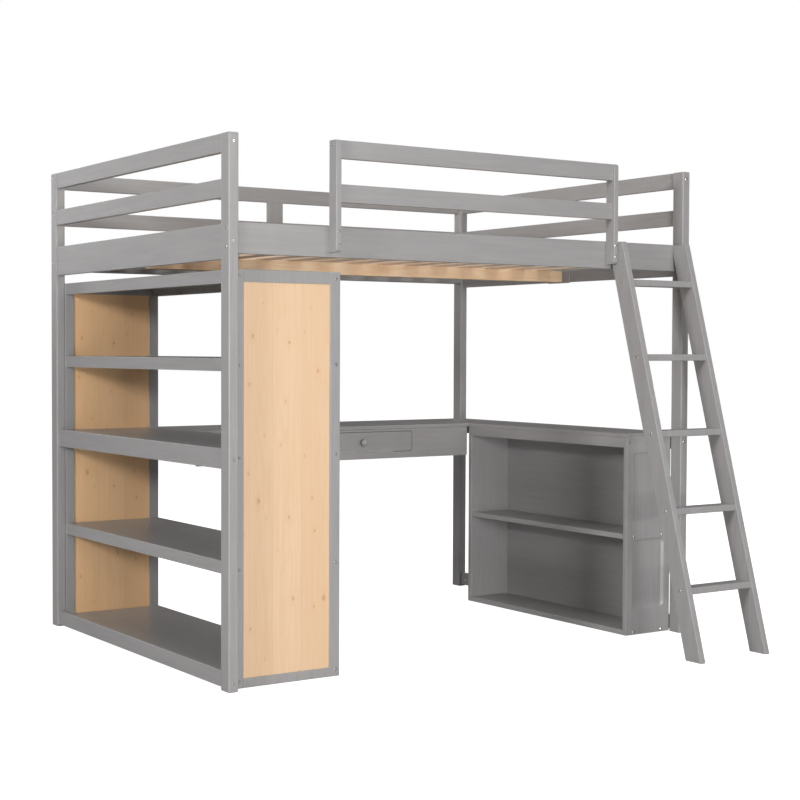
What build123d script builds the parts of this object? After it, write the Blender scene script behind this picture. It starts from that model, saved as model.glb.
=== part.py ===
"""Full-size loft bed with a bookcase tower, an L-shaped desk and a ladder.

Millimetres. The origin is on the floor at the centre of the whole footprint, ladder included:
+X runs along the bed to the right, +Y from the ladder side to the wall side, +Z up.

The pieces are laid out from the corner where the bed begins: x from the left end, y from the
front of the corner posts and z from the floor. at() turns such a place into the part's frame.
"""
import math
import os
from collections import namedtuple

from build123d import *

# Overall sizes
LENGTH = 2020.0
BED_DEPTH = 1454.0
HEIGHT = 1780.0
LADDER_REACH = 470.0

# Boards
POST_WIDTH = 36.0
POST_DEPTH = 54.0
RAIL = 22.0
BOARD = 20.0
EASE = 2.0
POST_EASE = 4.0
END_RECESS = 2.0
LOW_RECESS = 8.0
SIDE_RECESS = 8.0

# Rail heights, (bottom, top)
TOP_RAIL = (1720.0, HEIGHT)
MID_RAIL = (1577.0, 1636.0)
END_BOARD = (1381.0, 1493.0)
SIDE_RAIL = (1398.0, 1498.0)
DESK_RAIL = (711.0, 777.0)
BASE_RAIL = (8.0, 62.0)

# Slatted base
SLAT_COUNT = 14
SLAT_WIDTH = 70.0
SLAT_PITCH = 135.0
SLAT_THICK = 15.0
SLAT_GAP = 1.0
LEDGER = (1400.0, 1427.0)
BEAM_WIDTH = 44.0
BEAM_HEIGHT = 46.0
HANGER_CHEEK = 45.0
HANGER_THICK = 6.0
HANGER_SOLE = 4.0

# Front guard and ladder
GUARD_SPAN = (379.0, 1616.0)
GUARD_POST = (20.0, 45.0)
GUARD_FOOT = 1413.0
GUARD_SETBACK = 11.0
GUARD_CORNER = 12.0
LADDER_SPAN = (1617.0, 1965.0)
STRINGER = 24.0
STRINGER_FOOT = 74.0
STRINGER_TOP = 1495.0
LADDER_LEAN = 0.277
RUNG_COUNT = 5
RUNG_FIRST = 243.0
RUNG_PITCH = 275.0
RUNG_DEPTH = 60.0
RUNG_THICK = 24.0
RUNG_EASE = 4.0

# Bookcase tower under the left end
TOWER_RIGHT = 441.0
TOWER_HEIGHT = 1351.0
STILE_LEFT = 38.0
STILE_RIGHT = 40.0
TOWER_TOP_RAIL = 41.0
TOWER_FOOT_RAIL = 31.0
TOWER_LIFT = 2.0
INSET = 4.0
SHELF_TOPS = {"top": 1351.0, "upper": 1066.0, "desk": 776.0, "lower": 407.0, "base": 46.0}
SHELF_LEFT = 40.0
SHELF_THICK = 15.0
SHELF_LIP = (24.0, 43.0)

# Desk along the wall, and its drawer
DESK_HEIGHT = 776.0
DESK_THICK = 15.0
DESK_FRONT = 1050.0
DESK_BACK = 1442.0
APRON_SETBACK = 3.0
APRON_FOOT = 637.0
DESK_RAIL_FOOT = 681.0
DRAWER_SPAN = (958.0, 1463.0)
DRAWER_RISE = (666.0, 749.0)
DRAWER_GAP = 2.0
DRAWER_CORNER = 8.0
DRAWER_FACE = 18.0
DRAWER_DEPTH = 300.0
DRAWER_WALL = 12.0
DRAWER_INSET = 10.0
DRAWER_FLOOR = 5.0
DRAWER_LIFT = 6.0
DRAWER_HEADROOM = 9.0
DRAWER_EASE = 1.5
RUNNER_CLEAR = 1.0
KNOB_RADIUS = 15.0
KNOB_LENGTH = 28.0
KNOB_CAP = 11.0
KNOB_FOOT = 8.0
KNOB_NECK = 7.0
KNOB_NECK_DEPTH = 9.0
KNOB_LIP = 9.0
KNOB_LIP_DEPTH = 11.0
KNOB_FLARE = (13.5, 13.0)

# Bookcase under the right wing of the desk
WING_LEFT = 1757.0
BOOKCASE_BACK = 1040.0
BOOKCASE_LIFT = 3.0
BACK_PANEL = (1957.0, 1969.0)
BOOK_SHELF_TOP = 391.0
BOOK_SHELF_SETBACK = 4.0
HEADER_FOOT = 722.0
FIELD_MARGIN = 32.0
FIELD_DEPTH = 6.0
FIELD_CORNER = 20.0
FIELD_SLOPE = 60
FIELDS = ((100.0, 372.0), (433.0, 705.0))

# Fixing places: heights above the floor, and distances from the left end
END_BOLTS_FRONT = (1752.0, 1439.0, 742.0, 30.0)
END_BOLTS_BACK = (1738.0, 1457.0, 742.0, 30.0)
SIDE_BOLTS_FRONT = (1478.0, 1419.0)
SIDE_BOLTS_BACK = (1764.0, 1620.0, 1478.0, 1432.0)
DESK_BOLT = 721.0
GUARD_BOLTS = (1481.0, 1439.0)
GUARD_SCREWS = (1762.0, 1621.0)
LADDER_BOLT = 1465.0
HEADER_BOLT = 742.0
WALL_RAIL_BOLT = 700.0
DESK_SHELF_BOLT_DROP = 9.0
STILE_BOLTS_X = (55.0, 425.0)
WALL_RAIL_BOLT_X = 421.0
BOOKCASE_BOLTS_X = (1796.0, 1943.0)

# Fixings: radius of the shank, radius of the head and depth of the head
Kind = namedtuple("Kind", "shank head depth")
Fixing = namedtuple("Fixing", "x y z way length kind")
BOLT = Kind(3.0, 6.0, 3.0)
SCREW = Kind(1.75, 4.0, 2.5)
SHANK_FIT = 0.25
HEAD_FIT = 0.6
BOLT_HOLD = 46.0
GUARD_BOLT_LENGTH = 62.0
GUARD_SCREW_LENGTH = 60.0
SHELF_BOLT_LENGTH = 60.0
WALL_RAIL_BOLT_LENGTH = 40.0
RUNG_BOLT_LENGTH = 64.0
LADDER_BOLT_LENGTH = 52.0
SLAT_SCREW_LENGTH = 35.0
KNOB_SCREW_BITE = 14.0
DOME_SHARE = 0.4
CROWN_SHARE = 0.7
SOCKET_SHARE = 0.42
SOCKET_DEPTH_SHARE = 0.7
TOUCH = 0.01
NUT_RADIUS = 5.0
NUT_LENGTH = 12.0
NUT_OFFSET = 34.0

BED_LEFT = -LENGTH / 2
BED_FRONT = (LADDER_REACH - BED_DEPTH) / 2
FAR = BED_DEPTH - POST_DEPTH
HEAD_UP = (Align.CENTER, Align.CENTER, Align.MAX)
LEFT, RIGHT = (-1, 0, 0), (1, 0, 0)
FORWARD, BACKWARD = (0, -1, 0), (0, 1, 0)
UP = (0, 0, 1)


def at(x, y, z, z_dir=UP, x_dir=None):
    """The plane at a place measured from the left end, the front of the posts and the floor."""
    return Plane(origin=(BED_LEFT + x, BED_FRONT + y, z), x_dir=x_dir, z_dir=z_dir)


def mirrored(span):
    """The same span of x, seen from the right end."""
    return (LENGTH - span[1], LENGTH - span[0])


def behind(span):
    """The same span of y, seen from the back of the posts."""
    return (BED_DEPTH - span[1], BED_DEPTH - span[0])


def centre(span):
    """The middle of a span."""
    return (span[0] + span[1]) / 2


def stringer_front(z):
    """How far forward the ladder's front edge is at a height."""
    return LADDER_LEAN * z - LADDER_REACH


# Where each kind of board runs between its neighbours
BETWEEN_POSTS_X = (POST_WIDTH, LENGTH - POST_WIDTH)
BETWEEN_POSTS_Y = (POST_DEPTH, FAR)
SIDE_RAIL_Y = (SIDE_RECESS, SIDE_RECESS + RAIL)
LEDGER_Y = (SIDE_RAIL_Y[1], SIDE_RAIL_Y[1] + RAIL)
END_X = (END_RECESS, END_RECESS + RAIL)
LOW_END_X = (LOW_RECESS, LOW_RECESS + BOARD)
DESK_RAIL_Y = (DESK_BACK - RAIL, DESK_BACK)
TOWER_PANEL_Y = (POST_DEPTH - BOARD, POST_DEPTH)
GUARD_Y = (SIDE_RECESS - GUARD_POST[1], SIDE_RECESS)
GUARD_RAIL_Y = (GUARD_Y[0] + GUARD_SETBACK, GUARD_Y[0] + GUARD_SETBACK + RAIL)
RUNG_HEIGHTS = [RUNG_FIRST + RUNG_PITCH * i for i in range(RUNG_COUNT)]
SLAT_START = (LENGTH - SLAT_PITCH * (SLAT_COUNT - 1) - SLAT_WIDTH) / 2
SLAT_STARTS = [SLAT_START + SLAT_PITCH * i for i in range(SLAT_COUNT)]
SLAT_TOP = LEDGER[1] + SLAT_THICK
APRON_Y = (DESK_FRONT + APRON_SETBACK, DESK_FRONT + APRON_SETBACK + BOARD)
DESK_UNDER = DESK_HEIGHT - DESK_THICK


def post_fixings():
    """Bolts through the corner posts into the end rails, the side rails and the back guard."""
    found = []
    for x, outward in ((POST_WIDTH / 2, LEFT), (LENGTH - POST_WIDTH / 2, RIGHT)):
        side = 0.0 if outward == LEFT else LENGTH
        reach = POST_DEPTH + BOLT_HOLD
        found += [Fixing(x, 0.0, z, FORWARD, reach, BOLT) for z in END_BOLTS_FRONT]
        found += [Fixing(x, BED_DEPTH, z, BACKWARD, reach, BOLT) for z in END_BOLTS_BACK]
        reach = POST_WIDTH + BOLT_HOLD
        front = centre(SIDE_RAIL_Y)
        found += [Fixing(side, front, z, outward, reach, BOLT) for z in SIDE_BOLTS_FRONT]
        back = BED_DEPTH - front
        found += [Fixing(side, back, z, outward, reach, BOLT) for z in SIDE_BOLTS_BACK]
    found.append(Fixing(LENGTH, centre(DESK_RAIL_Y), DESK_BOLT, RIGHT, reach, BOLT))
    return found


def guard_fixings():
    """Bolts from the front guard posts into the side rail, and screws into the guard rails."""
    found = []
    for x, outward in ((GUARD_SPAN[0], LEFT), (GUARD_SPAN[1], RIGHT)):
        middle = x - outward[0] * GUARD_POST[0] / 2
        rail = centre(GUARD_RAIL_Y)
        found += [Fixing(middle, GUARD_Y[0], z, FORWARD, GUARD_BOLT_LENGTH, BOLT) for z in GUARD_BOLTS]
        found += [Fixing(x, rail, z, outward, GUARD_SCREW_LENGTH, SCREW) for z in GUARD_SCREWS]
    return found


def shelf_fixings():
    """Bolts through the tower's stiles and the bookcase's sides into the ends of their shelves."""
    found = []
    for name, top in SHELF_TOPS.items():
        z = top - SHELF_LIP[1] / 2 - (DESK_SHELF_BOLT_DROP if name == "desk" else 0.0)
        for x in STILE_BOLTS_X:
            found.append(Fixing(x, TOWER_PANEL_Y[0], z, FORWARD, SHELF_BOLT_LENGTH, BOLT))
            found.append(Fixing(x, BED_DEPTH - TOWER_PANEL_Y[0], z, BACKWARD, SHELF_BOLT_LENGTH, BOLT))
    shelf_middles = (BOOK_SHELF_TOP - BOARD / 2, BOOKCASE_LIFT + BOARD / 2)
    places = [(x, z) for z in shelf_middles for x in BOOKCASE_BOLTS_X]
    places.append((WING_LEFT + BOARD / 2, HEADER_BOLT))
    for x, z in places:
        found.append(Fixing(x, POST_DEPTH, z, FORWARD, SHELF_BOLT_LENGTH, BOLT))
        found.append(Fixing(x, BOOKCASE_BACK, z, BACKWARD, SHELF_BOLT_LENGTH, BOLT))
    found.append(
        Fixing(WALL_RAIL_BOLT_X, DESK_BACK, WALL_RAIL_BOLT, BACKWARD, WALL_RAIL_BOLT_LENGTH, BOLT)
    )
    return found


def ladder_fixings():
    """A bolt at each end of each rung, and one from behind the side rail into each stringer."""
    found = []
    for x, outward in ((LADDER_SPAN[0], LEFT), (LADDER_SPAN[1], RIGHT)):
        for z in RUNG_HEIGHTS:
            y = stringer_front(z) + STRINGER_FOOT / 2
            found.append(Fixing(x, y, z, outward, RUNG_BOLT_LENGTH, BOLT))
        middle = x - outward[0] * STRINGER / 2
        found.append(Fixing(middle, SIDE_RAIL_Y[1], LADDER_BOLT, BACKWARD, LADDER_BOLT_LENGTH, BOLT))
    return found


def slat_fixings():
    """Countersunk screws through each slat into both ledgers and the centre beam."""
    rows = (centre(LEDGER_Y), BED_DEPTH / 2, BED_DEPTH - centre(LEDGER_Y))
    middles = [start + SLAT_WIDTH / 2 for start in SLAT_STARTS]
    return [Fixing(x, y, SLAT_TOP, UP, SLAT_SCREW_LENGTH, SCREW) for x in middles for y in rows]


KNOB_X = centre(DRAWER_SPAN)
KNOB_Z = centre(DRAWER_RISE)
KNOB_SCREW_LENGTH = DRAWER_FACE + KNOB_SCREW_BITE
KNOB_FIXING = Fixing(KNOB_X, APRON_Y[0] + DRAWER_FACE, KNOB_Z, BACKWARD, KNOB_SCREW_LENGTH, SCREW)
POST_FIXINGS = post_fixings()
GUARD_FIXINGS = guard_fixings()
SHELF_FIXINGS = shelf_fixings()
LADDER_FIXINGS = ladder_fixings()
SLAT_FIXINGS = slat_fixings()
FIXINGS = POST_FIXINGS + GUARD_FIXINGS + SHELF_FIXINGS + LADDER_FIXINGS + SLAT_FIXINGS + [KNOB_FIXING]


def seat(fixing):
    """The plane on which a fixing's head lies, facing out of the wood."""
    return at(fixing.x, fixing.y, fixing.z, fixing.way)


def meets(fixing, x, y, z):
    """Whether a fixing enters the box that spans x, y and z."""
    for place, way, span in zip(fixing[:3], fixing.way, (x, y, z)):
        tip = place - way * fixing.length
        if max(place, tip) <= span[0] + TOUCH or min(place, tip) >= span[1] - TOUCH:
            return False
    return True


def bore(x, y, z):
    """Bore the open part for every fixing that enters the box spanning x, y and z."""
    for fixing in FIXINGS:
        if meets(fixing, x, y, z):
            kind = fixing.kind
            with Locations(seat(fixing)):
                CounterBoreHole(kind.shank + SHANK_FIT, kind.head + HEAD_FIT, kind.depth, fixing.length)
    for nut in NUTS:
        if meets(nut, x, y, z):
            with Locations(seat(nut)):
                Hole(NUT_RADIUS, NUT_LENGTH)


def barrel_nuts():
    """A cross nut in each rail that a post bolt ends in, let in from the rail's inner face."""
    found = []
    for bolt in POST_FIXINGS:
        if bolt.way in (FORWARD, BACKWARD):
            y = (POST_DEPTH if bolt.way == FORWARD else FAR) - bolt.way[1] * NUT_OFFSET
            inner = LOW_END_X[1] if bolt.z < DESK_RAIL[1] else END_X[1]
            on_left = bolt.x < LENGTH / 2
            x = inner if on_left else LENGTH - inner
            found.append(Fixing(x, y, bolt.z, RIGHT if on_left else LEFT, NUT_LENGTH, BOLT))
        else:
            on_left = bolt.way == LEFT
            x = POST_WIDTH + NUT_OFFSET if on_left else LENGTH - POST_WIDTH - NUT_OFFSET
            at_front = bolt.y < BED_DEPTH / 2
            y = SIDE_RAIL_Y[1] if at_front else BED_DEPTH - SIDE_RAIL_Y[1]
            if bolt.z < DESK_HEIGHT:
                y = DESK_RAIL_Y[0]
            found.append(Fixing(x, y, bolt.z, BACKWARD if at_front else FORWARD, NUT_LENGTH, BOLT))
    return found


NUTS = barrel_nuts()


def save(part, name):
    """Label a finished piece and write it to its own file."""
    part.label = name
    export_step(part, f"parts/{name}.step")


def board(x, y, z, ease=EASE):
    """A straight board that fills the spans x, y and z, bored, with its long edges rounded."""
    size = [span[1] - span[0] for span in (x, y, z)]
    along = (Axis.X, Axis.Y, Axis.Z)[size.index(max(size))]
    with BuildPart() as plank:
        with BuildSketch(at(x[0], y[0], z[0])):
            Rectangle(size[0], size[1], align=Align.MIN)
        extrude(amount=size[2])
        if ease:
            fillet(plank.edges().filter_by(along), ease)
        bore(x, y, z)
    return plank.part


def group(boards):
    """Several separate boards kept as one node."""
    return Compound(children=boards)


def post(x, y):
    """A corner post from the floor to the top rail, with softened ends."""
    with BuildPart() as upright:
        with BuildSketch(at(x[0], y[0], 0.0)):
            Rectangle(POST_WIDTH, POST_DEPTH, align=Align.MIN)
        extrude(amount=HEIGHT)
        fillet(upright.edges().filter_by(Axis.Z), POST_EASE)
        ends = upright.faces().filter_by(Axis.Z)
        chamfer(ends.edges(), EASE)
        bore(x, y, (0.0, HEIGHT))
    return upright.part


def guard_post(x):
    """A front guard post, with its outer corners rounded at the top and the foot."""
    rise = (GUARD_FOOT, HEIGHT)
    with BuildPart() as upright:
        with BuildSketch(at(x[0], GUARD_Y[0], rise[0])):
            Rectangle(GUARD_POST[0], GUARD_POST[1], align=Align.MIN)
        extrude(amount=rise[1] - rise[0])
        front = upright.faces().sort_by(Axis.Y)[0]
        fillet(front.edges().filter_by(Axis.X), GUARD_CORNER)
        fillet(upright.edges().filter_by(Axis.Z), EASE)
        bore(x, GUARD_Y, rise)
    return upright.part


def stringer(x):
    """A leaning ladder side: level foot and top, and an upright face against the side rail."""
    meeting = (SIDE_RECESS + LADDER_REACH - STRINGER_FOOT) / LADDER_LEAN
    with BuildPart() as side:
        with BuildSketch(at(x[0], 0.0, 0.0, z_dir=RIGHT, x_dir=BACKWARD)):
            with BuildLine():
                Polyline(
                    (stringer_front(0), 0.0),
                    (stringer_front(0) + STRINGER_FOOT, 0.0),
                    (SIDE_RECESS, meeting),
                    (SIDE_RECESS, STRINGER_TOP),
                    (stringer_front(STRINGER_TOP), STRINGER_TOP),
                    close=True,
                )
            make_face()
        extrude(amount=STRINGER)
        faces = side.faces().filter_by(Axis.X)
        fillet(faces.edges(), EASE)
        bore(x, (-LADDER_REACH, SIDE_RECESS), (0.0, STRINGER_TOP))
    return side.part


def rung(z):
    """A flat tread between the ladder's sides."""
    middle = stringer_front(z) + STRINGER_FOOT / 2
    x = (LADDER_SPAN[0] + STRINGER, LADDER_SPAN[1] - STRINGER)
    y = (middle - RUNG_DEPTH / 2, middle + RUNG_DEPTH / 2)
    return board(x, y, (z - RUNG_THICK / 2, z + RUNG_THICK / 2), RUNG_EASE)


def hanger(x):
    """A block with a notch that carries one end of the centre beam."""
    width = BEAM_WIDTH + 2 * HANGER_CHEEK
    foot = LEDGER[1] - BEAM_HEIGHT - HANGER_SOLE
    rise = LEDGER[1] - foot
    with BuildPart() as block:
        with BuildSketch(at(x[0], BED_DEPTH / 2, foot, z_dir=RIGHT, x_dir=BACKWARD)):
            Rectangle(width, rise, align=(Align.CENTER, Align.MIN))
            with Locations((0.0, HANGER_SOLE)):
                Rectangle(BEAM_WIDTH, rise, align=(Align.CENTER, Align.MIN), mode=Mode.SUBTRACT)
        extrude(amount=HANGER_THICK)
    return block.part


def tower_frame(y):
    """Two stiles and two rails around an upright panel of the tower."""
    left = (POST_WIDTH, POST_WIDTH + STILE_LEFT)
    right = (TOWER_RIGHT - STILE_RIGHT, TOWER_RIGHT)
    inner = (left[1], right[0])
    return group(
        [
            board(left, y, (TOWER_LIFT, TOWER_HEIGHT)),
            board(right, y, (TOWER_LIFT, TOWER_HEIGHT)),
            board(inner, y, (TOWER_HEIGHT - TOWER_TOP_RAIL, TOWER_HEIGHT)),
            board(inner, y, (TOWER_LIFT, TOWER_LIFT + TOWER_FOOT_RAIL)),
        ]
    )


def tower_panel(y):
    """The unpainted board set into a tower frame."""
    x = (POST_WIDTH + STILE_LEFT, TOWER_RIGHT - STILE_RIGHT)
    z = (TOWER_LIFT + TOWER_FOOT_RAIL, TOWER_HEIGHT - TOWER_TOP_RAIL)
    return board(x, (y[0] + INSET, y[1] - INSET), z, 0)


def shelf(left, top):
    """A tower shelf: a board with a deep lip under each long edge."""
    span = TOWER_RIGHT - left
    lip, drop = SHELF_LIP
    with BuildPart() as tray:
        with BuildSketch(at(left, FAR, top, z_dir=FORWARD, x_dir=RIGHT)):
            Rectangle(span, SHELF_THICK, align=(Align.MIN, Align.MAX))
            with Locations((SHELF_LEFT - left, 0.0), (span - lip, 0.0)):
                Rectangle(lip, drop, align=(Align.MIN, Align.MAX))
        extrude(amount=FAR - POST_DEPTH)
        fillet(tray.edges().filter_by(Axis.Y).group_by(Axis.Z)[-1], EASE)
        bore((left, TOWER_RIGHT), BETWEEN_POSTS_Y, (top - drop, top))
    return tray.part


def apron():
    """The board under the desk's front edge, with the drawer's opening."""
    x, z = (TOWER_RIGHT, WING_LEFT), (APRON_FOOT, DESK_UNDER)
    width = DRAWER_SPAN[1] - DRAWER_SPAN[0] + 2 * DRAWER_GAP
    height = DRAWER_RISE[1] - DRAWER_RISE[0] + 2 * DRAWER_GAP
    with BuildPart() as front:
        with BuildSketch(at(x[0], APRON_Y[1], z[0], z_dir=FORWARD, x_dir=RIGHT)):
            Rectangle(x[1] - x[0], z[1] - z[0], align=Align.MIN)
        extrude(amount=BOARD)
        fillet(front.edges().filter_by(Axis.X), EASE)
        with BuildSketch(at(KNOB_X, APRON_Y[1], KNOB_Z, z_dir=FORWARD, x_dir=RIGHT)):
            RectangleRounded(width, height, DRAWER_CORNER + DRAWER_GAP)
        extrude(amount=BOARD, mode=Mode.SUBTRACT)
    return front.part


def drawer_front():
    """The inset front, with rounded corners."""
    width = DRAWER_SPAN[1] - DRAWER_SPAN[0]
    height = DRAWER_RISE[1] - DRAWER_RISE[0]
    y = (APRON_Y[0], APRON_Y[0] + DRAWER_FACE)
    with BuildPart() as front:
        with BuildSketch(at(KNOB_X, y[1], KNOB_Z, z_dir=FORWARD, x_dir=RIGHT)):
            RectangleRounded(width, height, DRAWER_CORNER)
        extrude(amount=DRAWER_FACE)
        fillet(front.faces().sort_by(Axis.Y)[0].edges(), DRAWER_EASE)
        bore(DRAWER_SPAN, y, DRAWER_RISE)
    return front.part


DRAWER_Y = (APRON_Y[0] + DRAWER_FACE, APRON_Y[0] + DRAWER_FACE + DRAWER_DEPTH)
DRAWER_BOX_X = (DRAWER_SPAN[0] + DRAWER_INSET, DRAWER_SPAN[1] - DRAWER_INSET)
DRAWER_BOX_Z = (DRAWER_RISE[0] + DRAWER_LIFT, DRAWER_RISE[1] - DRAWER_HEADROOM)


def drawer_box():
    """The drawer's two sides and its back."""
    x, y, z = DRAWER_BOX_X, DRAWER_Y, DRAWER_BOX_Z
    return group(
        [
            board((x[0], x[0] + DRAWER_WALL), y, z, DRAWER_EASE),
            board((x[1] - DRAWER_WALL, x[1]), y, z, DRAWER_EASE),
            board((x[0] + DRAWER_WALL, x[1] - DRAWER_WALL), (y[1] - DRAWER_WALL, y[1]), z, DRAWER_EASE),
        ]
    )


def drawer_bottom():
    """The drawer's thin floor, between its walls."""
    x = (DRAWER_BOX_X[0] + DRAWER_WALL, DRAWER_BOX_X[1] - DRAWER_WALL)
    z = (DRAWER_BOX_Z[0], DRAWER_BOX_Z[0] + DRAWER_FLOOR)
    return board(x, (DRAWER_Y[0], DRAWER_Y[1] - DRAWER_WALL), z, 0)


def drawer_runners():
    """Two L-shaped runners, from the apron to the rail at the wall, that the drawer slides on."""
    ledge, wall, sole, rise = 26.0, 6.0, 12.0, 56.0
    inner = (DRAWER_BOX_X[1] - DRAWER_BOX_X[0]) / 2 + RUNNER_CLEAR
    foot = DRAWER_BOX_Z[0] - RUNNER_CLEAR - sole
    with BuildPart() as runners:
        with BuildSketch(at(KNOB_X, DESK_RAIL_Y[0], foot, z_dir=FORWARD, x_dir=RIGHT)):
            with BuildLine():
                Polyline(
                    (inner - ledge, 0.0),
                    (inner + wall, 0.0),
                    (inner + wall, rise),
                    (inner, rise),
                    (inner, sole),
                    (inner - ledge, sole),
                    close=True,
                )
            make_face()
            mirror(about=Plane.YZ)
        extrude(amount=DESK_RAIL_Y[0] - APRON_Y[1])
    return runners.part


def knob():
    """A turned mushroom knob: a slim neck and a cap whose face is part of a sphere."""
    face = APRON_Y[0]
    ball = (KNOB_RADIUS**2 + KNOB_CAP**2) / (2 * KNOB_CAP)
    half = math.asin(KNOB_RADIUS / ball) / 2
    tip = (0.0, -KNOB_LENGTH)
    neck = (KNOB_NECK, -KNOB_NECK_DEPTH)
    lip = (KNOB_LIP, -KNOB_LIP_DEPTH)
    flare = (KNOB_FLARE[0], -KNOB_FLARE[1])
    rim = (KNOB_RADIUS, KNOB_CAP - KNOB_LENGTH)
    middle = (ball * math.sin(half), ball * (1 - math.cos(half)) - KNOB_LENGTH)
    reach = (KNOB_X - KNOB_RADIUS, KNOB_X + KNOB_RADIUS)
    rise = (KNOB_Z - KNOB_RADIUS, KNOB_Z + KNOB_RADIUS)
    with BuildPart() as turned:
        with BuildSketch(at(KNOB_X, face, KNOB_Z, z_dir=UP, x_dir=RIGHT)):
            with BuildLine():
                Polyline(tip, (0.0, 0.0), (KNOB_FOOT, 0.0), neck, lip)
                ThreePointArc(lip, flare, rim)
                ThreePointArc(rim, middle, tip)
            make_face()
        revolve(axis=Axis((BED_LEFT + KNOB_X, BED_FRONT + face, KNOB_Z), (0, 1, 0)))
        bore(reach, (face - KNOB_LENGTH, face), rise)
    return turned.part


def bookcase_front_side():
    """The bookcase's side that faces the ladder, with two sunk fields."""
    x, z = (WING_LEFT, BETWEEN_POSTS_X[1]), (BOOKCASE_LIFT, DESK_UNDER)
    with BuildPart() as panel:
        with BuildSketch(at(x[0], POST_DEPTH + BOARD, z[0], z_dir=FORWARD, x_dir=RIGHT)):
            Rectangle(x[1] - x[0], z[1] - z[0], align=Align.MIN)
        extrude(amount=BOARD)
        fillet(panel.edges().filter_by(Axis.Z), EASE)
        for foot, head in FIELDS:
            with BuildSketch(at(centre(x), POST_DEPTH, centre((foot, head)), z_dir=FORWARD, x_dir=RIGHT)):
                RectangleRounded(x[1] - x[0] - 2 * FIELD_MARGIN, head - foot, FIELD_CORNER)
            extrude(amount=-FIELD_DEPTH, taper=FIELD_SLOPE, mode=Mode.SUBTRACT)
        bore(x, (POST_DEPTH, POST_DEPTH + BOARD), z)
    return panel.part


def fastener(kind, length):
    """A low domed socket bolt or a small flat screw, its head's top at the origin, facing up."""
    dome = kind.depth * DOME_SHARE
    with BuildPart() as bolt:
        Cone(kind.head, kind.head * CROWN_SHARE, dome, align=HEAD_UP)
        with Locations((0, 0, -dome)):
            Cylinder(kind.head, kind.depth - dome, align=HEAD_UP)
        with Locations((0, 0, -kind.depth)):
            Cylinder(kind.shank, length - kind.depth, align=HEAD_UP)
        with BuildSketch(Plane.XY):
            RegularPolygon(kind.head * SOCKET_SHARE, 6)
        extrude(amount=-kind.depth * SOCKET_DEPTH_SHARE, mode=Mode.SUBTRACT)
    return bolt.part


def hardware(fixings):
    """Every fastener of a list, in place, as one group of separate solids."""
    shapes = {(fixing.kind, fixing.length): fastener(fixing.kind, fixing.length) for fixing in fixings}
    return group([shapes[f.kind, f.length].moved(seat(f).location) for f in fixings])


def cross_nut(nut, bolt):
    """A barrel nut, bored across for its bolt."""
    with BuildPart() as barrel:
        with Locations(seat(nut)):
            Cylinder(NUT_RADIUS, NUT_LENGTH, align=HEAD_UP)
        with Locations(seat(bolt)):
            Hole(BOLT.shank + SHANK_FIT, bolt.length)
    return barrel.part


os.makedirs("parts", exist_ok=True)

# Corner posts and the rails between them
for side, x in (("left", (0.0, POST_WIDTH)), ("right", mirrored((0.0, POST_WIDTH)))):
    save(post(x, (0.0, POST_DEPTH)), f"post_front_{side}")
    save(post(x, (FAR, BED_DEPTH)), f"post_back_{side}")
for side, high, low in (("left", END_X, LOW_END_X), ("right", mirrored(END_X), mirrored(LOW_END_X))):
    save(board(high, BETWEEN_POSTS_Y, TOP_RAIL), f"end_top_rail_{side}")
    save(board(high, BETWEEN_POSTS_Y, MID_RAIL), f"end_mid_rail_{side}")
    save(board(high, BETWEEN_POSTS_Y, END_BOARD), f"end_board_{side}")
    save(board(low, BETWEEN_POSTS_Y, DESK_RAIL), f"end_desk_rail_{side}")
    save(board(low, BETWEEN_POSTS_Y, BASE_RAIL), f"end_base_rail_{side}")
save(board(BETWEEN_POSTS_X, SIDE_RAIL_Y, SIDE_RAIL), "side_rail_front")
save(board(BETWEEN_POSTS_X, behind(SIDE_RAIL_Y), SIDE_RAIL), "side_rail_back")

# Slatted base
ledgers = [board(BETWEEN_POSTS_X, y, LEDGER) for y in (LEDGER_Y, behind(LEDGER_Y))]
save(group(ledgers), "slat_ledgers")
beam_x = (END_X[1], LENGTH - END_X[1])
beam_y = ((BED_DEPTH - BEAM_WIDTH) / 2, (BED_DEPTH + BEAM_WIDTH) / 2)
save(board(beam_x, beam_y, (LEDGER[1] - BEAM_HEIGHT, LEDGER[1])), "centre_beam")
save(group([hanger((beam_x[0],)), hanger((beam_x[1] - HANGER_THICK,))]), "beam_hangers")
slat_y = (SIDE_RAIL_Y[1] + SLAT_GAP, BED_DEPTH - SIDE_RAIL_Y[1] - SLAT_GAP)
slats = [board((x, x + SLAT_WIDTH), slat_y, (LEDGER[1], SLAT_TOP)) for x in SLAT_STARTS]
save(group(slats), "bed_slats")

# Guards
save(board(BETWEEN_POSTS_X, behind(SIDE_RAIL_Y), TOP_RAIL), "back_guard_top_rail")
save(board(BETWEEN_POSTS_X, behind(SIDE_RAIL_Y), MID_RAIL), "back_guard_mid_rail")
upright_x = (LENGTH / 2 - SLAT_WIDTH / 2, LENGTH / 2 + SLAT_WIDTH / 2)
upright_z = ((SIDE_RAIL[1], MID_RAIL[0]), (MID_RAIL[1], TOP_RAIL[0]))
save(group([board(upright_x, behind(SIDE_RAIL_Y), z) for z in upright_z]), "back_guard_uprights")
guard_left = (GUARD_SPAN[0], GUARD_SPAN[0] + GUARD_POST[0])
guard_right = (GUARD_SPAN[1] - GUARD_POST[0], GUARD_SPAN[1])
save(guard_post(guard_left), "guard_post_left")
save(guard_post(guard_right), "guard_post_right")
save(board((guard_left[1], guard_right[0]), GUARD_RAIL_Y, TOP_RAIL), "guard_top_rail")
save(board((guard_left[1], guard_right[0]), GUARD_RAIL_Y, MID_RAIL), "guard_mid_rail")

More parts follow.
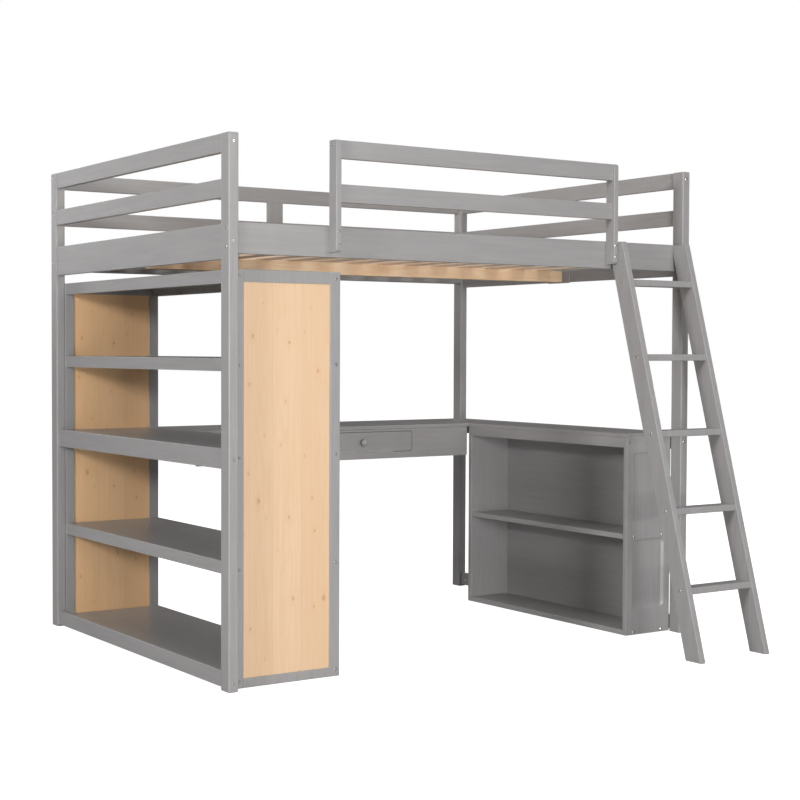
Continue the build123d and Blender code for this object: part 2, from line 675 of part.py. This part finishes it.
# Ladder
save(stringer((LADDER_SPAN[0], LADDER_SPAN[0] + STRINGER)), "ladder_side_left")
save(stringer((LADDER_SPAN[1] - STRINGER, LADDER_SPAN[1])), "ladder_side_right")
save(group([rung(z) for z in RUNG_HEIGHTS]), "ladder_rungs")

# Tower
for side, y in (("front", TOWER_PANEL_Y), ("back", behind(TOWER_PANEL_Y))):
    save(tower_frame(y), f"tower_frame_{side}")
    save(tower_panel(y), f"tower_panel_{side}")
for name, top in SHELF_TOPS.items():
    save(shelf(LOW_END_X[1] if name in ("desk", "base") else SHELF_LEFT, top), f"tower_shelf_{name}")

# Desk
wing_right = LENGTH - LOW_END_X[1]
desk_right = BETWEEN_POSTS_X[1]
desk_z = (DESK_UNDER, DESK_HEIGHT)
cross_z = (DESK_RAIL_FOOT, DESK_UNDER)
cross_y = (APRON_Y[1], DESK_RAIL_Y[0])
cross_x = ((TOWER_RIGHT, TOWER_RIGHT + BOARD), (WING_LEFT - BOARD, WING_LEFT))
save(board((TOWER_RIGHT, desk_right), (DESK_FRONT, DESK_BACK), desk_z), "desk_top_back")
save(board((WING_LEFT, wing_right), (POST_DEPTH, DESK_FRONT), desk_z), "desk_top_right")
save(apron(), "desk_apron")
save(board((TOWER_RIGHT - STILE_RIGHT, desk_right), DESK_RAIL_Y, cross_z), "desk_wall_rail")
save(group([board(x, cross_y, cross_z) for x in cross_x]), "desk_cross_rails")
save(drawer_runners(), "drawer_runners")
save(drawer_front(), "drawer_front")
save(drawer_box(), "drawer_box")
save(drawer_bottom(), "drawer_bottom")
save(knob(), "drawer_knob")

# Bookcase
inside_y = (POST_DEPTH + BOARD, BOOKCASE_BACK - BOARD)
bookcase_z = (BOOKCASE_LIFT, DESK_UNDER)
save(bookcase_front_side(), "bookcase_side_front")
save(board((WING_LEFT, desk_right), (inside_y[1], BOOKCASE_BACK), bookcase_z), "bookcase_side_back")
save(board(BACK_PANEL, inside_y, bookcase_z, 0), "bookcase_back_panel")
save(board((WING_LEFT, WING_LEFT + BOARD), inside_y, (HEADER_FOOT, DESK_UNDER)), "bookcase_header")
middle_z = (BOOK_SHELF_TOP - BOARD, BOOK_SHELF_TOP)
bottom_z = (BOOKCASE_LIFT, BOOKCASE_LIFT + BOARD)
book_shelves = [
    board((WING_LEFT + BOOK_SHELF_SETBACK, BACK_PANEL[0]), inside_y, middle_z),
    board((WING_LEFT, BACK_PANEL[0]), inside_y, bottom_z),
]
save(group(book_shelves), "bookcase_shelves")

# Hardware
save(hardware(POST_FIXINGS + GUARD_FIXINGS), "frame_bolts")
save(hardware(SHELF_FIXINGS), "shelf_bolts")
save(hardware(LADDER_FIXINGS), "ladder_bolts")
save(hardware(SLAT_FIXINGS), "slat_screws")
save(hardware([KNOB_FIXING]), "knob_screw")
save(group([cross_nut(nut, bolt) for nut, bolt in zip(NUTS, POST_FIXINGS)]), "barrel_nuts")
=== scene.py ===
"""Looks of the loft bed with desk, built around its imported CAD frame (metres, row frame).

Every board keeps its CAD shape. This script gives each node a procedural material: satin grey paint
over wood, solid pine for the tower's panels, the slats and the beam, plywood for the drawer and
plated steel for the fixings. It then sets the floor, the lights and the camera.
"""
import math

import bpy
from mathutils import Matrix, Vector


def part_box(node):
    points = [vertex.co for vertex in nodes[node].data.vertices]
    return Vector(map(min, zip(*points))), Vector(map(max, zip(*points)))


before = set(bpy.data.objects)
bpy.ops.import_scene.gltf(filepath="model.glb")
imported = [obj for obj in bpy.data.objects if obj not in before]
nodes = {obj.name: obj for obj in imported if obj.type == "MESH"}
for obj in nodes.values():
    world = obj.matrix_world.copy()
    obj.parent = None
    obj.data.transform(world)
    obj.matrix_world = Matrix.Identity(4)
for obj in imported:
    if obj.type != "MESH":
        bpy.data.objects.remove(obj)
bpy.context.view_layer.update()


# ---------------------------------------------------------------- node helpers
def new_material(name):
    """An empty node material and its Principled shader."""
    material = bpy.data.materials.new(name)
    material.use_nodes = True
    return material, material.node_tree.nodes["Principled BSDF"]


def add(tree, kind, **settings):
    """A node of a kind; settings name its properties."""
    node = tree.nodes.new(kind)
    for key, value in settings.items():
        setattr(node, key, value)
    return node


def feed(tree, socket, value):
    """Link a socket into an input, or set the input to a number, a vector or a colour."""
    if isinstance(value, bpy.types.NodeSocket):
        tree.links.new(value, socket)
    elif isinstance(value, tuple) and socket.type == "RGBA":
        socket.default_value = (*value, 1.0)
    else:
        socket.default_value = value


def maths(tree, operation, *values, clamp=False):
    """A Math node over sockets or numbers; returns its output."""
    node = add(tree, "ShaderNodeMath", operation=operation, use_clamp=clamp)
    for socket, value in zip(node.inputs, values):
        feed(tree, socket, value)
    return node.outputs[0]


def remap(tree, value, low, high, to_low=0.0, to_high=1.0):
    """A smooth step of a value from one range to another."""
    node = add(tree, "ShaderNodeMapRange", interpolation_type="SMOOTHSTEP")
    for socket, number in zip(node.inputs, (value, low, high, to_low, to_high)):
        feed(tree, socket, number)
    return node.outputs[0]


def mix(tree, factor, first, second, blend="MIX"):
    """A colour mix; each input is a socket or a constant."""
    node = add(tree, "ShaderNodeMix", data_type="RGBA", blend_type=blend)
    for socket, value in ((node.inputs[0], factor), (node.inputs[6], first), (node.inputs[7], second)):
        feed(tree, socket, value)
    return node.outputs[2]


def vector(tree, x, y, z):
    """A vector made of three sockets or numbers."""
    node = add(tree, "ShaderNodeCombineXYZ")
    for socket, value in zip(node.inputs, (x, y, z)):
        feed(tree, socket, value)
    return node.outputs[0]


def noise(tree, place, scale, detail=3.0, roughness=0.5, distortion=0.0):
    """A noise value socket."""
    node = add(tree, "ShaderNodeTexNoise")
    feed(tree, node.inputs["Vector"], place)
    feed(tree, node.inputs["Scale"], scale)
    feed(tree, node.inputs["Detail"], detail)
    feed(tree, node.inputs["Roughness"], roughness)
    feed(tree, node.inputs["Distortion"], distortion)
    return node.outputs["Fac"]


def chance(tree, value):
    """A random number from 0 to 1 that depends on a value."""
    node = add(tree, "ShaderNodeTexWhiteNoise", noise_dimensions="1D")
    feed(tree, node.inputs["W"], value)
    return node.outputs["Value"]


def bump(tree, height, strength, distance, under=None):
    """A bumped normal, over another normal if one is given."""
    node = add(tree, "ShaderNodeBump")
    feed(tree, node.inputs["Strength"], strength)
    feed(tree, node.inputs["Distance"], distance)
    feed(tree, node.inputs["Height"], height)
    if under is not None:
        feed(tree, node.inputs["Normal"], under)
    return node.outputs[0]


def place_in(tree, origin):
    """The x, y and z sockets of a place on the object, in metres from an origin."""
    where = add(tree, "ShaderNodeTexCoord")
    shifted = add(tree, "ShaderNodeMapping")
    feed(tree, shifted.inputs["Vector"], where.outputs["Object"])
    feed(tree, shifted.inputs["Location"], tuple(-value for value in origin))
    parts = add(tree, "ShaderNodeSeparateXYZ")
    feed(tree, parts.inputs[0], shifted.outputs[0])
    return dict(zip("XYZ", parts.outputs))


def edges(tree, radius):
    """How close the surface is to a rounded edge, from 0 on a flat to 1 on the edge."""
    soft = add(tree, "ShaderNodeBevel", samples=6)
    feed(tree, soft.inputs["Radius"], radius)
    flat = add(tree, "ShaderNodeNewGeometry")
    dot = add(tree, "ShaderNodeVectorMath", operation="DOT_PRODUCT")
    feed(tree, dot.inputs[0], soft.outputs[0])
    feed(tree, dot.inputs[1], flat.outputs["True Normal"])
    return remap(tree, dot.outputs["Value"], 0.995, 0.80)


# ---------------------------------------------------------------- painted wood
PAINT_DARK = (0.292, 0.283, 0.282)
PAINT_PALE = (0.330, 0.320, 0.318)
# Paler paint for the rounded edges: partly wear, partly a painted highlight.
PAINT_WEAR_AND_HIGHLIGHT = (0.500, 0.492, 0.490)
GRAIN_STRETCH = 16.0
STREAK_SCALE = 70.0
PORE_SCALE = 620.0
CLOUD_SCALE = 4.0
MOTTLE_SCALE = 45.0
WEAR_AND_HIGHLIGHT_EDGE = 0.0035


def grey_paint(axis):
    """Satin grey paint; the grain under it runs along one axis, and edges are paler: partly wear, partly a
    painted highlight.
    """
    material, shader = new_material(f"grey_paint_{axis}")
    tree = material.node_tree
    place = place_in(tree, (0.0, 0.0, 0.0))
    drawn = dict(place)
    drawn[axis] = maths(tree, "DIVIDE", place[axis], GRAIN_STRETCH)
    along = vector(tree, drawn["X"], drawn["Y"], drawn["Z"])
    even = vector(tree, place["X"], place["Y"], place["Z"])

    pores = noise(tree, along, PORE_SCALE, 3.0, 0.6)
    streaks = noise(tree, along, STREAK_SCALE, 4.0, 0.6, 0.8)
    clouds = noise(tree, even, CLOUD_SCALE, 3.0, 0.5)
    mottle = noise(tree, even, MOTTLE_SCALE, 3.0, 0.55)
    tone = mix(tree, remap(tree, streaks, 0.30, 0.72), PAINT_DARK, PAINT_PALE)
    tone = mix(tree, remap(tree, clouds, 0.30, 0.70, 0.0, 0.35), tone, PAINT_DARK)
    tone = mix(tree, remap(tree, mottle, 0.45, 0.75, 0.0, 0.18), tone, PAINT_PALE)
    # Paler rounded edges: partly rubbed paint, partly a painted highlight on the rounding.
    wear_and_highlight = maths(tree, "MULTIPLY", edges(tree, WEAR_AND_HIGHLIGHT_EDGE), remap(tree, mottle, 0.25, 0.65, 0.25, 0.75))
    tone = mix(tree, wear_and_highlight, tone, PAINT_WEAR_AND_HIGHLIGHT)
    feed(tree, shader.inputs["Base Color"], tone)

    gloss = maths(tree, "MULTIPLY_ADD", mottle, 0.14, 0.22)
    gloss = maths(tree, "MULTIPLY_ADD", pores, 0.10, gloss)
    feed(tree, shader.inputs["Roughness"], gloss)
    grain = bump(tree, streaks, 0.12, 0.0008)
    feed(tree, shader.inputs["Normal"], bump(tree, pores, 0.10, 0.0004, grain))
    return material


# ---------------------------------------------------------------- bare wood
KNOT_STRETCH = 1.6
SMALLEST_KNOT = 0.0012
KNOT_CORE = 0.60
KNOT_RIM = 0.22
RING_SPACING = 0.0062
RING_WANDER = 0.055
PITH_NEAREST = 0.045
PITH_SPREAD = 0.05
FIBRE_STRETCH = 26.0
FIBRE_SCALE = 900.0
SEAM_REACH = (0.0008, 0.0002)
DULL_BOARD = (0.93, 0.90, 0.86)
FULL_TONE = (1.0, 1.0, 1.0)


def wood(name, node, grain, across, boards, tones, knots, figure, polish):
    """Solid wood in the space of a node: growth rings round a pith, fibres, boards and knots.

    grain and across are axes; boards is (width, phase) of the glued or separate boards; tones is
    (pale, dark, knot); knots is (cell size, largest radius); figure is how strongly the rings
    show; polish is the lowest roughness.
    """
    pale, dark, knot_tone = tones
    width, phase = boards
    cell, largest = knots
    deep = next(axis for axis in "XYZ" if axis not in (grain, across))
    low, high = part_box(node)
    material, shader = new_material(name)
    tree = material.node_tree
    place = place_in(tree, (low + high) / 2)

    strip = maths(tree, "ADD", maths(tree, "DIVIDE", place[across], width), phase)
    index = maths(tree, "FLOOR", strip)
    luck = chance(tree, index)
    luck_two = chance(tree, maths(tree, "ADD", index, 31.7))
    inside = maths(tree, "MULTIPLY", maths(tree, "SUBTRACT", maths(tree, "FRACT", strip), 0.5), width)
    length = maths(tree, "ADD", place[grain], maths(tree, "MULTIPLY", luck_two, 7.0))

    # Knots: one to a cell of the face, each its own size, drawn out along the grain
    knot_u = maths(tree, "DIVIDE", maths(tree, "MULTIPLY_ADD", luck, 3.0, place[across]), cell)
    knot_v = maths(tree, "DIVIDE", length, cell * KNOT_STRETCH)
    cells = add(tree, "ShaderNodeTexVoronoi", voronoi_dimensions="2D", feature="F1")
    feed(tree, cells.inputs["Vector"], vector(tree, knot_u, knot_v, 0.0))
    feed(tree, cells.inputs["Scale"], 1.0)
    kind = add(tree, "ShaderNodeSeparateColor")
    feed(tree, kind.inputs[0], cells.outputs["Color"])
    radius = maths(tree, "MULTIPLY", maths(tree, "POWER", kind.outputs[0], 2.0), largest / cell)
    radius = maths(tree, "ADD", radius, SMALLEST_KNOT / cell)
    spot = vector(tree, place[across], maths(tree, "DIVIDE", length, KNOT_STRETCH), 0.0)
    ragged = remap(tree, noise(tree, spot, 180.0, 3.0, 0.6), 0.30, 0.70, 0.65, 1.50)
    reach = maths(tree, "DIVIDE", cells.outputs["Distance"], radius)
    reach = maths(tree, "MULTIPLY", reach, ragged)
    core = remap(tree, reach, 1.6, 0.2)
    rim = maths(tree, "MULTIPLY", remap(tree, reach, 2.2, 1.1), remap(tree, reach, 0.3, 1.0))
    swirl = remap(tree, reach, 9.0, 0.8)

    # Growth rings: distance to a pith behind the board, wandering along the grain
    slow = vector(tree, maths(tree, "MULTIPLY", inside, 5.0), maths(tree, "MULTIPLY", length, 1.3), luck)
    wander = maths(tree, "SUBTRACT", noise(tree, slow, 1.6, 2.0, 0.45), 0.5)
    side = maths(tree, "MULTIPLY_ADD", maths(tree, "SUBTRACT", luck, 0.5), width * 0.7, inside)
    pith_depth = maths(tree, "MULTIPLY_ADD", luck_two, PITH_SPREAD, PITH_NEAREST)
    behind = maths(tree, "ADD", place[deep], pith_depth)
    side_square = maths(tree, "MULTIPLY", side, side)
    behind_square = maths(tree, "MULTIPLY", behind, behind)
    reach_pith = maths(tree, "SQRT", maths(tree, "ADD", side_square, behind_square))
    path = maths(tree, "MULTIPLY_ADD", wander, RING_WANDER, reach_pith)
    path = maths(tree, "MULTIPLY_ADD", swirl, 0.006, path)
    ring = maths(tree, "SINE", maths(tree, "MULTIPLY", path, math.tau / RING_SPACING))
    late = maths(tree, "POWER", maths(tree, "MULTIPLY_ADD", ring, 0.5, 0.5), 2.5)

    # Fibres, drawn out along the grain
    thin = vector(tree, inside, maths(tree, "DIVIDE", length, FIBRE_STRETCH), place[deep])
    fibre = noise(tree, thin, FIBRE_SCALE, 3.0, 0.6)
    broad = noise(tree, thin, 90.0, 4.0, 0.6, 0.5)
    flush = noise(tree, vector(tree, inside, maths(tree, "DIVIDE", length, 4.0), luck), 9.0, 2.0, 0.5)

    depth = maths(tree, "MULTIPLY", late, figure)
    depth = maths(tree, "MULTIPLY_ADD", remap(tree, broad, 0.3, 0.7), 0.28, depth)
    depth = maths(tree, "MULTIPLY_ADD", remap(tree, fibre, 0.35, 0.7), 0.14, depth)
    depth = maths(tree, "MULTIPLY_ADD", swirl, 0.22, depth, clamp=True)
    tone = mix(tree, depth, pale, dark)
    tint = mix(tree, luck, DULL_BOARD, FULL_TONE)
    tone = mix(tree, 1.0, tone, tint, "MULTIPLY")
    tone = mix(tree, remap(tree, flush, 0.45, 0.75, 0.0, 0.30), tone, dark)
    tone = mix(tree, maths(tree, "MULTIPLY", core, KNOT_CORE), tone, knot_tone)
    tone = mix(tree, maths(tree, "MULTIPLY", rim, KNOT_RIM), tone, tuple(part * 0.55 for part in knot_tone))
    start, end = (width / 2 - inset for inset in SEAM_REACH)
    seam = remap(tree, maths(tree, "ABSOLUTE", inside), start, end)
    tone = mix(tree, maths(tree, "MULTIPLY", seam, 0.35), tone, knot_tone)
    feed(tree, shader.inputs["Base Color"], tone)

    gloss = maths(tree, "MULTIPLY_ADD", fibre, 0.16, polish)
    feed(tree, shader.inputs["Roughness"], maths(tree, "MULTIPLY_ADD", late, -0.06, gloss))
    relief = bump(tree, late, 0.10, 0.0006)
    relief = bump(tree, fibre, 0.16, 0.0004, relief)
    feed(tree, shader.inputs["Normal"], bump(tree, core, 0.25, 0.0006, relief))
    return material


# ---------------------------------------------------------------- steel
ZINC_DULL = (0.72, 0.72, 0.70)
ZINC_BRIGHT = (0.93, 0.93, 0.91)
# Painted shade: the dark tone put into the sockets and round the heads.
PAINTED_SHADE_TONE = (0.05, 0.05, 0.05)
PAINTED_SHADE_REACH = 0.004
ZINC_METALLIC = 0.8


def plated_steel():
    """Bright zinc plate, slightly clouded and finely brushed, with painted shade in the sockets and round
    the heads.
    """
    material, shader = new_material("zinc_steel")
    tree = material.node_tree
    place = place_in(tree, (0.0, 0.0, 0.0))
    even = vector(tree, place["X"], place["Y"], place["Z"])
    cloud = noise(tree, even, 900.0, 3.0, 0.6)
    scratch = noise(tree, even, 4200.0, 2.0, 0.5)
    tone = mix(tree, cloud, ZINC_DULL, ZINC_BRIGHT)
    # Painted shade: an occlusion mask darkens the sockets and the rims where the heads meet the paint.
    painted_shade_ao = add(tree, "ShaderNodeAmbientOcclusion", samples=8)
    feed(tree, painted_shade_ao.inputs["Distance"], PAINTED_SHADE_REACH)
    unshaded_face = remap(tree, painted_shade_ao.outputs["AO"], 0.35, 0.85)
    feed(tree, shader.inputs["Base Color"], mix(tree, unshaded_face, PAINTED_SHADE_TONE, tone))
    feed(tree, shader.inputs["Roughness"], maths(tree, "MULTIPLY_ADD", cloud, 0.20, 0.16))
    feed(tree, shader.inputs["Normal"], bump(tree, scratch, 0.15, 0.0001))
    shader.inputs["Metallic"].default_value = ZINC_METALLIC
    return material


# ---------------------------------------------------------------- dressing the nodes
PINE_TONES = ((0.775, 0.565, 0.385), (0.700, 0.455, 0.265), (0.500, 0.235, 0.085))
# The far panel's pine is a brighter, warmer copy of the front panel's tones: painted light on a panel that
# stands in shade.
FAR_PANEL_LIT_TONES = ((0.900, 0.600, 0.345), (0.820, 0.490, 0.235), (0.540, 0.235, 0.075))
SLAT_TONES = ((0.960, 0.780, 0.620), (0.860, 0.600, 0.420), (0.460, 0.190, 0.090))
BEAM_TONES = ((0.900, 0.690, 0.480), (0.780, 0.500, 0.290), (0.450, 0.180, 0.075))
PLY_TONES = ((0.700, 0.540, 0.350), (0.590, 0.430, 0.260), (0.360, 0.200, 0.090))
PANEL_KNOTS = (0.100, 0.0042)
SLAT_KNOTS = (0.16, 0.012)
PLY_KNOTS = (0.30, 0.004)
PANEL_FIGURE = 0.15
SLAT_FIGURE = 0.34
PLY_FIGURE = 0.30
PANEL_POLISH = 0.30
SLAT_POLISH = 0.42
PLY_POLISH = 0.45
PANEL_BOARDS = 3
SLAT_PITCH = 0.135
BEAM_BOARD = 0.2
PLY_BOARD = 0.6
STEEL_NODES = ("frame_bolts", "shelf_bolts", "ladder_bolts", "slat_screws", "knob_screw", "barrel_nuts")


def panel_pine(node, tones):
    """Glued pine boards standing upright in a tower panel."""
    low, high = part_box(node)
    boards = ((high.x - low.x) / PANEL_BOARDS, 0.5)
    name = f"{node}_pine"
    return wood(name, node, "Z", "X", boards, tones, PANEL_KNOTS, PANEL_FIGURE, PANEL_POLISH)


def bare_timber(name, node, grain, across, board):
    """Bare pine for the slats and the beam under them."""
    tones = SLAT_TONES if node == "bed_slats" else BEAM_TONES
    return wood(name, node, grain, across, board, tones, SLAT_KNOTS, SLAT_FIGURE, SLAT_POLISH)


def drawer_ply(name, node, grain, across):
    """Plain ply for the inside of the drawer."""
    sheet = (PLY_BOARD, 0.5)
    return wood(name, node, grain, across, sheet, PLY_TONES, PLY_KNOTS, PLY_FIGURE, PLY_POLISH)


def long_axis(node):
    """The axis that a node's boards run along."""
    low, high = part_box(node)
    size = high - low
    return "XYZ"[max(range(3), key=lambda i: size[i])]


def dress(node, material):
    """Give a CAD node one material."""
    slots = nodes[node].data.materials
    slots.clear()
    slots.append(material)


paint = {axis: grey_paint(axis) for axis in "XYZ"}
steel = plated_steel()
bare = {
    "tower_panel_front": panel_pine("tower_panel_front", PINE_TONES),
    "tower_panel_back": panel_pine("tower_panel_back", FAR_PANEL_LIT_TONES),
    "bed_slats": bare_timber("slat_pine", "bed_slats", "Y", "X", (SLAT_PITCH, 0.0)),
    "centre_beam": bare_timber("beam_pine", "centre_beam", "X", "Z", (BEAM_BOARD, 0.5)),
    "drawer_box": drawer_ply("drawer_wood", "drawer_box", "Y", "Z"),
    "drawer_bottom": drawer_ply("bottom_ply", "drawer_bottom", "X", "Y"),
}
for node in nodes:
    if node in bare:
        dress(node, bare[node])
    elif node in STEEL_NODES:
        dress(node, steel)
    else:
        dress(node, paint[long_axis(node)])


# ---------------------------------------------------------------- floor, world and lights
FLOOR_SIZE = 60.0
FLOOR_TONE = (0.50, 0.50, 0.50, 1.0)
FLOOR_GLOW = 0.97
WHITE = (1.0, 1.0, 1.0)
WORLD_LIGHT = 0.13
MIDDLE = (0.0, 0.0, 0.9)
# name, place, size and power of each lamp, all turned to the middle of the bed
LAMPS = (
    ("key_left", (-6.0, -1.6, 2.6), 1.0, 214.0),
    ("low_front", (-1.5, -6.8, 0.95), 1.8, 255.0),
    ("high_front", (1.5, -7.0, 3.6), 3.0, 105.0),
    ("overhead", (0.0, -0.5, 5.5), 4.0, 95.0),
    ("back_fill", (-1.5, 7.0, 3.0), 3.0, 110.0),
    ("right_fill", (7.0, 1.5, 2.8), 3.0, 90.0),
)


def studio_floor():
    """A flat white floor, which the camera sees a little brighter than it lights the bed."""
    half = FLOOR_SIZE / 2
    mesh = bpy.data.meshes.new("studio_floor")
    corners = [(-half, -half, 0.0), (half, -half, 0.0), (half, half, 0.0), (-half, half, 0.0)]
    mesh.from_pydata(corners, [], [(0, 1, 2, 3)])
    material, shader = new_material("studio_floor")
    tree = material.node_tree
    shader.inputs["Base Color"].default_value = FLOOR_TONE
    shader.inputs["Roughness"].default_value = 0.9
    shader.inputs["Specular IOR Level"].default_value = 0.0
    glow = add(tree, "ShaderNodeEmission")
    feed(tree, glow.inputs["Strength"], FLOOR_GLOW)
    both = add(tree, "ShaderNodeAddShader")
    feed(tree, both.inputs[0], shader.outputs[0])
    feed(tree, both.inputs[1], glow.outputs[0])
    seen = add(tree, "ShaderNodeLightPath")
    choice = add(tree, "ShaderNodeMixShader")
    feed(tree, choice.inputs[0], seen.outputs["Is Camera Ray"])
    feed(tree, choice.inputs[1], shader.outputs[0])
    feed(tree, choice.inputs[2], both.outputs[0])
    feed(tree, tree.nodes["Material Output"].inputs["Surface"], choice.outputs[0])
    mesh.materials.append(material)
    floor = bpy.data.objects.new("studio_floor", mesh)
    bpy.context.scene.collection.objects.link(floor)


def studio_world(strength):
    """A white surround: bright behind the bed, softer as a light on it."""
    world = bpy.data.worlds.new("studio")
    bpy.context.scene.world = world
    world.use_nodes = True
    tree = world.node_tree
    light = tree.nodes["Background"]
    feed(tree, light.inputs["Color"], WHITE)
    feed(tree, light.inputs["Strength"], strength)
    backdrop = add(tree, "ShaderNodeBackground")
    feed(tree, backdrop.inputs["Color"], WHITE)
    feed(tree, backdrop.inputs["Strength"], 1.0)
    seen = add(tree, "ShaderNodeLightPath")
    choice = add(tree, "ShaderNodeMixShader")
    feed(tree, choice.inputs[0], seen.outputs["Is Camera Ray"])
    feed(tree, choice.inputs[1], light.outputs[0])
    feed(tree, choice.inputs[2], backdrop.outputs[0])
    feed(tree, tree.nodes["World Output"].inputs["Surface"], choice.outputs[0])


def soft_light(name, place, target, size, power):
    """A square area light that looks at a target."""
    data = bpy.data.lights.new(name, "AREA")
    data.size = size
    data.energy = power
    lamp = bpy.data.objects.new(name, data)
    bpy.context.scene.collection.objects.link(lamp)
    lamp.location = place
    lamp.rotation_euler = (Vector(target) - Vector(place)).to_track_quat("-Z", "Y").to_euler()


studio_floor()
studio_world(WORLD_LIGHT)
for lamp, spot, breadth, watts in LAMPS:
    soft_light(lamp, spot, MIDDLE, breadth, watts)
bpy.context.scene.view_settings.view_transform = "Standard"

# ---------------------------------------------------------------- camera
# Its place is measured on the floor from the bed's front left foot.
CAMERA_FROM_CORNER = Vector((-2.3554, -4.2936, 1.0957))
CAMERA_YAW = math.radians(57.346)
CAMERA_PITCH = math.radians(-1.778)
CAMERA_ROLL = math.radians(0.151)
CAMERA_SHIFT = (0.0821, -0.0036)
SENSOR = 36.0
FOCAL_IN_WIDTHS = 1.9326


def stand_camera():
    """The camera at the reference viewing angle."""
    data = bpy.data.cameras.new("camera")
    data.sensor_width = SENSOR
    data.lens = SENSOR * FOCAL_IN_WIDTHS
    data.shift_x, data.shift_y = CAMERA_SHIFT
    camera = bpy.data.objects.new("camera", data)
    bpy.context.scene.collection.objects.link(camera)
    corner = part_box("post_front_left")[0]
    camera.location = Vector((corner.x, corner.y, 0.0)) + CAMERA_FROM_CORNER
    level = math.cos(CAMERA_PITCH)
    gaze = Vector((level * math.cos(CAMERA_YAW), level * math.sin(CAMERA_YAW), math.sin(CAMERA_PITCH)))
    camera.rotation_euler = gaze.to_track_quat("-Z", "Y").to_euler()
    camera.rotation_euler.rotate_axis("Z", CAMERA_ROLL)
    bpy.context.scene.camera = camera


stand_camera()
